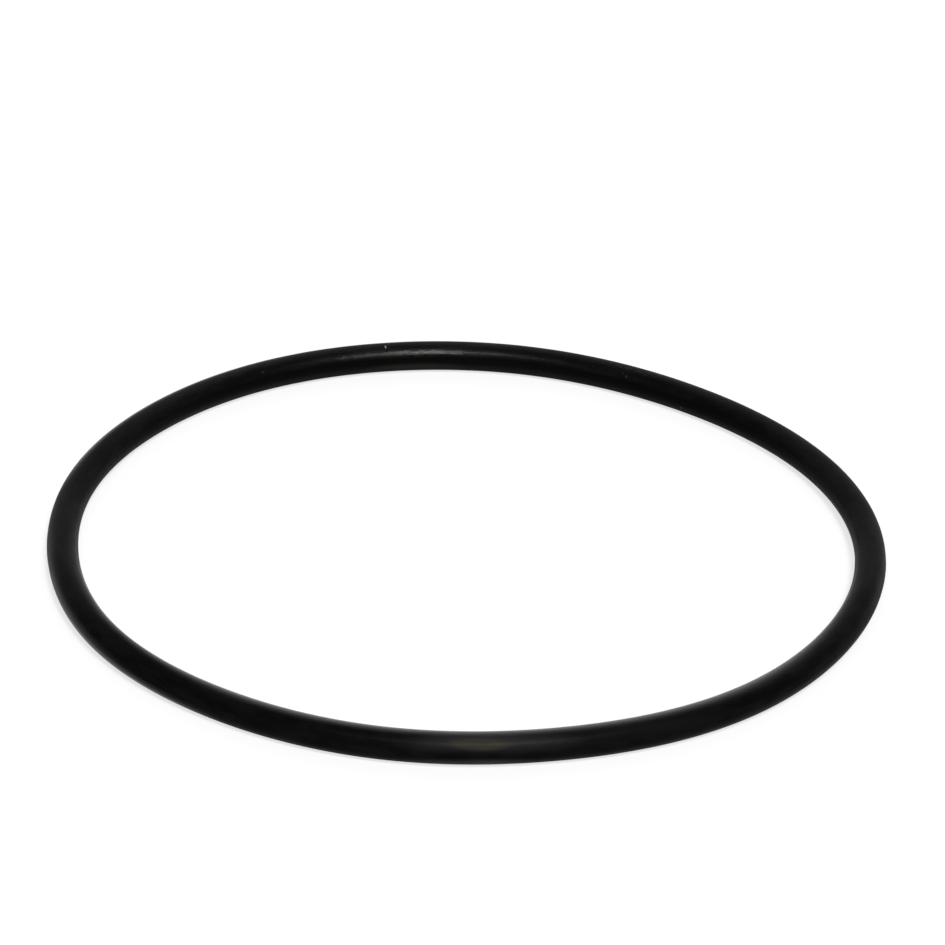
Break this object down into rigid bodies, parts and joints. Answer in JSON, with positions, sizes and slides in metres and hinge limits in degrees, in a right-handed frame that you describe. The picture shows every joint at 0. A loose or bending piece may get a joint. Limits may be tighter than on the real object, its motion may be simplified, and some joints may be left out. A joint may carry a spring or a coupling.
{
  "type": "rubber o-ring",
  "caption": "Black moulded rubber o-ring of round section, with a fine trimmed parting line; it seals between a shaft or spigot and the bore around it.",
  "frame": {"origin": "centre of the ring, on its axis and at the middle of its height, where the parting line lies", "axes": "+Z is the ring's axis, up as it lies flat; X and Y lie in the plane of the parting line, and the picture looks along +Y"},
  "size_m": [0.0956, 0.0956, 0.0036],
  "materials": {
    "black_rubber": "moulded black nitrile rubber, satin, with a soft sheen and a little dust"
  },
  "bodies": {
    "root": {"o_ring": "black_rubber"}
  },
  "joints": []
}
